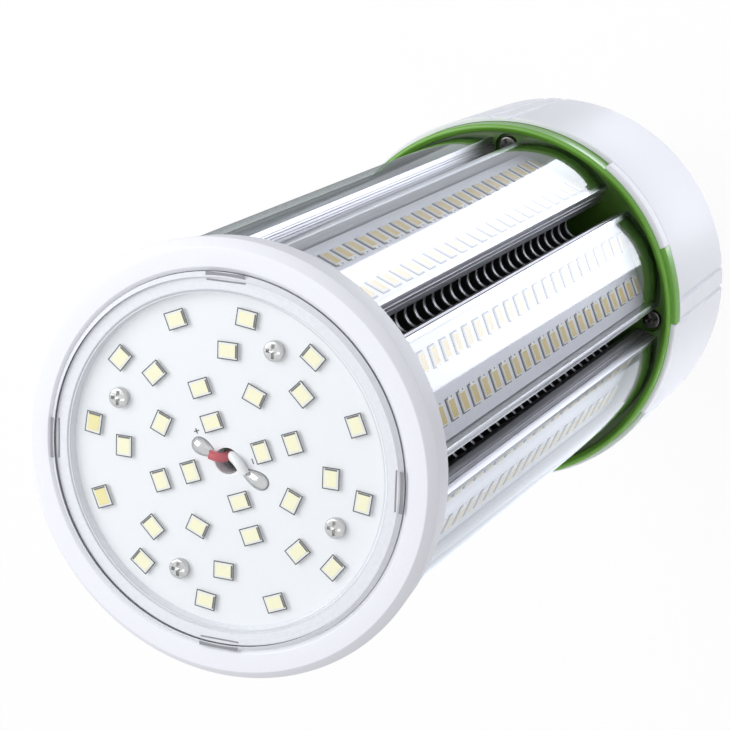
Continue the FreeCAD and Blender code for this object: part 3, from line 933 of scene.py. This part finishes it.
class LAMP_OT_lit_end(bpy.types.Operator):
    """Lit end: white ring, clear cover, board, LEDs, screws, leads and marks"""
    bl_idname = "lamp.lit_end"
    bl_label = "Lit end"

    def execute(self, context):
        f, r = FACE, COVER_RADIUS
        mouth, step, foot, skirt = r - 2.3, f - 2.6, f - 6.1, f - 7.3
        ring = turned("end_ring_moulding", [
            (mouth, foot), (mouth, step, 0.2), (r + 0.04, step), (r + 0.04, f - 0.5), (r + 0.75, f, 0.15),
            (END_FACE_RADIUS, f, 0.3), (END_RADIUS, f - 1.6, 0.3), (SKIRT_RADIUS, f - 2.4),
            (SKIRT_RADIUS, skirt, 0.2), (SKIRT_BORE, skirt), (SKIRT_BORE, foot)], FINE_STEPS)
        dress(ring, white_plastic(), "white_plastic", "end_ring")
        self.cover()
        dress_node("end_led_board", board_mask())
        dress_node("end_carrier_plate", board_mask())
        self.leds()
        head = pan_screw("end_screw", PLATE_RADIUS - END_SCREW_INSET, END_BOARD, 1.75, 1.1)
        heads = four_round("end_screw_heads", head, bright_steel(), 0.0)
        dress(heads, bright_steel(), "screw_steel", "end_board_screws")
        self.leads()
        self.solder()
        self.marks()
        return {"FINISHED"}

    def cover(self):
        """The clear cup with its lugs, and the lines and frosted flange that show round its rim."""
        f, r, window = FACE, COVER_RADIUS, clear_plastic("Clear window", False)
        under, top, foot = f + 0.02, f + 0.7, f - 2.58
        cup = turned("clear_cup", [
            (0.0, under), (r - 1.5, under), (r - 1.5, foot), (r, foot), (r, f - 0.1), (r - 0.8, top),
            (0.0, top)])
        lug = block("snap_lug", (r - 1.05, 0.0, f - 3.5), (1.3, 7.2, 1.8), 0.1)
        cup = joined("end_cover_moulding", [cup, four_round("snap_lugs", lug, window)])
        dress(cup, window, "clear_cover", "end_cover")
        lines = [turned("rim_edge", [
            (r - 0.78, f + 0.66), (r - 0.03, f - 0.08), (r - 0.1, f - 0.12), (r - 0.84, f + 0.6)])]
        for inner in (PLATE_RADIUS, PLATE_RADIUS + 0.5):
            outer, high, low = inner + 0.16, f - 0.02, f - 0.12
            lines.append(turned("rim_rib", [(inner, high), (outer, high), (outer, low), (inner, low)]))
        dress(joined("rim_lines", lines), moulded("Frosted edge", (0.70, 0.71, 0.76), 0.4), "clear_cover")
        board, plate = END_BOARD + 0.02, PLATE_RADIUS
        flange = turned("rim_flange", [
            (plate + 0.6, f - 0.03), (r - 0.85, f - 0.03), (r - 0.85, f - 0.2), (plate + 0.8, f - 0.2),
            (plate, board), (plate - 0.25, board)])
        dress(flange, moulded("Frosted flange", (0.78, 0.79, 0.84), 0.4), "clear_cover")
        # the dark grey bars at the lug windows are painted shade seen in the clear cover
        grey, bars = moulded("Grey moulding", (0.25, 0.25, 0.28), 0.3), []
        for out, wide, up in ((r - 1.5, 0.28, -0.03), (r - 0.45, 0.75, 0.4)):
            bar = block("lug_window", (out, 0.0, f + up), (wide, 7.0, 0.06))
            bars.append(four_round("lug_window_set", bar, grey))
        dress(joined("lug_windows", bars), grey, "clear_cover")

    def leds(self):
        rim = PLATE_RADIUS - LED_RING_INSET
        for name, material, up, thick, grow, edge in LED_LAYERS:
            paint = material() if material else end_phosphor()
            size = (LED_WIDE + 2 * grow, LED_LONG + 2 * grow, thick)
            parts = []
            for k, (first, count) in enumerate(END_LED_RINGS):
                chip = block("end_led", (rim - LED_RING_STEP * k, 0.0, END_BOARD + up), size, edge)
                parts.append(repeated("end_led_%s_%d" % (name, k), chip, paint, copies=count, first=first,
                                      step=TURN / count))
            nodes = ("end_leds",) if name == "cases" else ()
            dress(joined("end_led_" + name, parts), paint, "led_phosphor", *nodes)
        self.shade_bars(rim)
        deep = moulded("Deep phosphor", (0.83, 0.75, 0.37), 0.35)
        chip = block("deep_led", (rim, 0.0, END_BOARD + LED_TOP + 0.03), (2.0, 2.7, 0.03))
        pair = repeated("end_led_deep_phosphors", chip, deep, copies=2, first=DEEP_LED_ANGLE,
                        step=DEEP_LED_STEP)
        dress(pair, deep, "led_phosphor")

    def shade_bars(self, rim):
        """Dark bars at one end of the end LEDs, painted shade of the case's side; they change ends from one
        half of the board to the other so that all lie on one side.
        """
        paint, shade_bars = moulded("LED terminal", (0.13, 0.13, 0.14), 0.4), []
        for k, (first, count) in enumerate(END_LED_RINGS):
            out = rim - LED_RING_STEP * k
            for turn, end in ((0, -1.5), (180, 1.5)):
                bar = block("end_led_tip", (out, end, END_BOARD + LED_TOP), (2.2, 0.28, 0.03))
                shade_bars.append(repeated("end_led_tips_%d_%d" % (k, turn), bar, paint, copies=count // 2,
                                     first=first + turn, step=TURN / count))
        dress(joined("end_led_tips", shade_bars), paint, "led_phosphor")

    def leads(self):
        """Two leads up through the board, and the hole's white edge."""
        low, z = box_mm("red_lead")[0].z, END_BOARD
        routes = {
            "red": [(0, LEAD_APART, low), (0, LEAD_APART, z - 30.0), (0.25, 0.6, z - 2.0),
                    (0.1, 1.3, z + 0.55), (-0.2, 3.0, z + 0.85)],
            "white": [(0, -LEAD_APART, low), (0, -LEAD_APART, z - 30.0), (0.7, -0.3, z - 2.0),
                      (1.35, -0.7, z + 0.3), (1.2, -2.0, z + 0.85), (0.1, -4.0, z + 0.85)],
        }
        for name, points in routes.items():
            lead = tube(name + "_lead_sleeve", points, LEAD_RADIUS)
            dress(lead, sleeve(name), name + "_wire", name + "_lead")
        inner, outer, foot, top = 2.25, 2.95, z - 2.5, z + 0.03
        collar = turned("lead_collar", [(inner, foot), (outer, foot), (outer, top), (inner, top, 0.1)], 64)
        dress(collar, board_mask(), "white_board")

    def solder(self):
        """A drop on the end of each lead, with a dark foot under it where it meets the board: painted shade
        in the crease.
        """
        drops, shade_feet = [], []
        for x, y, reach in SOLDER:
            drops.append(self.drop(x, y, reach, 1.7, 1.2))
            shade_feet.append(self.drop(x, y, reach + math.copysign(0.2, reach), 1.95, 0.1))
        dress(joined("solder_feet", shade_feet), moulded("Flux edge", (0.22, 0.22, 0.23), 0.45), "solder")
        bright = brushed("Solder", (0.62, 0.62, 0.63), 0.16, 1.0)
        dress(joined("solder_drops", drops), bright, "solder", "solder_joints")

    def drop(self, x, y, reach, wide, high):
        """A drop of solder that narrows towards its lead."""
        work = bmesh.new()
        bmesh.ops.create_uvsphere(work, u_segments=32, v_segments=16, radius=1.0)
        verts = []
        for v in work.verts:
            slim = 1.0 - 0.25 * (1.0 - v.co.y)
            up = max(0.0, high * slim * v.co.z)
            verts.append((x + wide * slim * v.co.x, y + reach * v.co.y, END_BOARD + up))
        faces = [tuple(v.index for v in f.verts) for f in work.faces]
        work.free()
        return new_object("solder_drop", new_mesh("solder_drop", verts, faces, 60.0))

    def marks(self):
        """Plus and minus signs beside the solder joints."""
        bars = []
        for (x, y), across in ((PLUS_PLACE, 0.0), (PLUS_PLACE, QUARTER), (MINUS_PLACE, 0.0)):
            bar = block("mark", (0, 0, END_BOARD + 0.01), (0.95, 0.2, 0.03))
            turn = Matrix.Rotation(math.radians(MARK_ANGLE + across), 4, "Z")
            bar.data.transform(Matrix.Translation((x * MM, y * MM, 0)) @ turn)
            bars.append(bar)
        dress(joined("polarity_marks", bars), moulded("Grey print", (0.1, 0.1, 0.11), 0.6), "white_board")


class LAMP_OT_driver(bpy.types.Operator):
    """Driver parts sealed in the housing"""
    bl_idname = "lamp.driver"
    bl_label = "Driver"

    def execute(self, context):
        dress_node("driver_board", moulded("Green laminate", (0.03, 0.12, 0.04), 0.5))
        dress_node("transformer", moulded("Yellow tape", (0.7, 0.45, 0.03), 0.4))
        dress_node("capacitor", moulded("Dark sleeve", (0.02, 0.02, 0.04), 0.3))
        dress_node("choke", moulded("Ferrite", (0.03, 0.03, 0.03), 0.6))
        dress_node("live_feed", sleeve("red"))
        dress_node("neutral_feed", sleeve("white"))
        return {"FINISHED"}


class LAMP_OT_studio(bpy.types.Operator):
    """Pale floor, soft light and the camera"""
    bl_idname = "lamp.studio"
    bl_label = "Studio"

    def execute(self, context):
        scene = context.scene
        studio = scene.lamp_studio
        scene.view_settings.view_transform = "Standard"
        eye = bpy.data.cameras.new("Camera")
        eye.lens, eye.sensor_width, eye.clip_start = studio.lens, 36.0, 0.01
        camera = scene.camera = new_object("Camera", eye)
        camera.location = studio.place
        camera.rotation_euler = studio.turn
        self.floor()
        for name, given in CARDS.items():
            self.card(name, *given)
        self.world(scene, studio.sky)
        self.softbox("Key softbox", (0.05, 0.42, 0.62), 0.12, 0.5, studio.key, 180.0)
        self.softbox("Housing softbox", (-0.1, -0.45, 0.10), 0.045, 0.12, studio.key * 0.006, 16.0)
        return {"FINISHED"}

    def softbox(self, name, place, aim, size, power, spread):
        """A soft lamp that looks at a height on the axis."""
        lamp = bpy.data.lights.new(name, "AREA")
        lamp.energy, lamp.size, lamp.spread = power, size, math.radians(spread)
        box = new_object(name, lamp)
        box.location = place
        box.rotation_euler = (Vector((0, 0, aim)) - Vector(place)).to_track_quat("-Z", "Y").to_euler()

    def floor(self):
        wide, z = 4.0, BASE * MM
        corners = [(-wide, -wide, z), (wide, -wide, z), (wide, wide, z), (-wide, wide, z)]
        mesh = bpy.data.meshes.new("floor")
        mesh.from_pydata(corners, [], [(0, 1, 2, 3)])
        floor = new_object("floor", mesh)
        pale, tree, out = stage_material("Pale floor")
        matt = node(tree, "ShaderNodeBsdfDiffuse")
        matt.inputs[0].default_value = (0.9, 0.9, 0.9, 1.0)
        glow = node(tree, "ShaderNodeEmission")
        glow.inputs[0].default_value = WHITE
        tree.links.new(mixed(tree, seen_rays(tree, 0.9), matt, glow), out.inputs[0])
        mesh.materials.append(pale)

    def card(self, name, first, last, strength):
        """A card by the lamp's foot that only mirrors show."""
        steps, z = 24, BASE * MM + 0.002
        angles = [math.radians(first + (last - first) * k / steps) for k in range(steps + 1)]
        verts = [(r * math.cos(a), r * math.sin(a), z) for a in angles for r in CARD_REACH]
        mesh = bpy.data.meshes.new(name)
        mesh.from_pydata(verts, [], [(2 * k, 2 * k + 1, 2 * k + 3, 2 * k + 2) for k in range(steps)])
        glow, tree, out = stage_material(name)
        shine = node(tree, "ShaderNodeEmission")
        shine.inputs[0].default_value = CARD_TINT
        shine.inputs[1].default_value = strength
        bare = node(tree, "ShaderNodeBsdfTransparent")
        path = node(tree, "ShaderNodeLightPath")
        tree.links.new(mixed(tree, path.outputs["Is Glossy Ray"], bare, shine), out.inputs[0])
        mesh.materials.append(glow)
        new_object(name, mesh)

    def world(self, scene, strength):
        """Even light of a given strength, seen as white."""
        world = bpy.data.worlds.new("Studio")
        world.use_nodes = True
        tree = world.node_tree
        ground = tree.nodes["Background"]
        ground.inputs[0].default_value = WHITE
        total = worked(tree, "ADD", seen_rays(tree, 1.0 - strength), strength)
        tree.links.new(total, ground.inputs[1])
        scene.world = world


STEPS = (LAMP_OT_screw_base, LAMP_OT_housing, LAMP_OT_green_ring, LAMP_OT_fins, LAMP_OT_lit_sides,
         LAMP_OT_lit_end, LAMP_OT_driver, LAMP_OT_studio)


class LAMP_PT_pieces(bpy.types.Panel):
    """Lists the lamp's operators and settings"""
    bl_idname = "LAMP_PT_pieces"
    bl_label = "Corn lamp"
    bl_space_type = "VIEW_3D"
    bl_region_type = "UI"
    bl_category = "Corn lamp"

    def draw(self, context):
        for group in ("lamp_sizes", "lamp_colours", "lamp_studio"):
            values = getattr(context.scene, group)
            for name in values.__annotations__:
                self.layout.prop(values, name)
        for step in STEPS:
            self.layout.operator(step.bl_idname)


CLASSES = (LampSizes, LampColours, LampStudio, *STEPS, LAMP_PT_pieces)


def register():
    for item in CLASSES:
        bpy.utils.register_class(item)
    bpy.types.Scene.lamp_sizes = bpy.props.PointerProperty(type=LampSizes)
    bpy.types.Scene.lamp_colours = bpy.props.PointerProperty(type=LampColours)
    bpy.types.Scene.lamp_studio = bpy.props.PointerProperty(type=LampStudio)


def unregister():
    for name in ("lamp_sizes", "lamp_colours", "lamp_studio"):
        delattr(bpy.types.Scene, name)
    for item in reversed(CLASSES):
        bpy.utils.unregister_class(item)


def main():
    register()
    for step in STEPS:
        group, name = step.bl_idname.split(".")
        getattr(getattr(bpy.ops, group), name)()


if __name__ == "__main__":
    main()
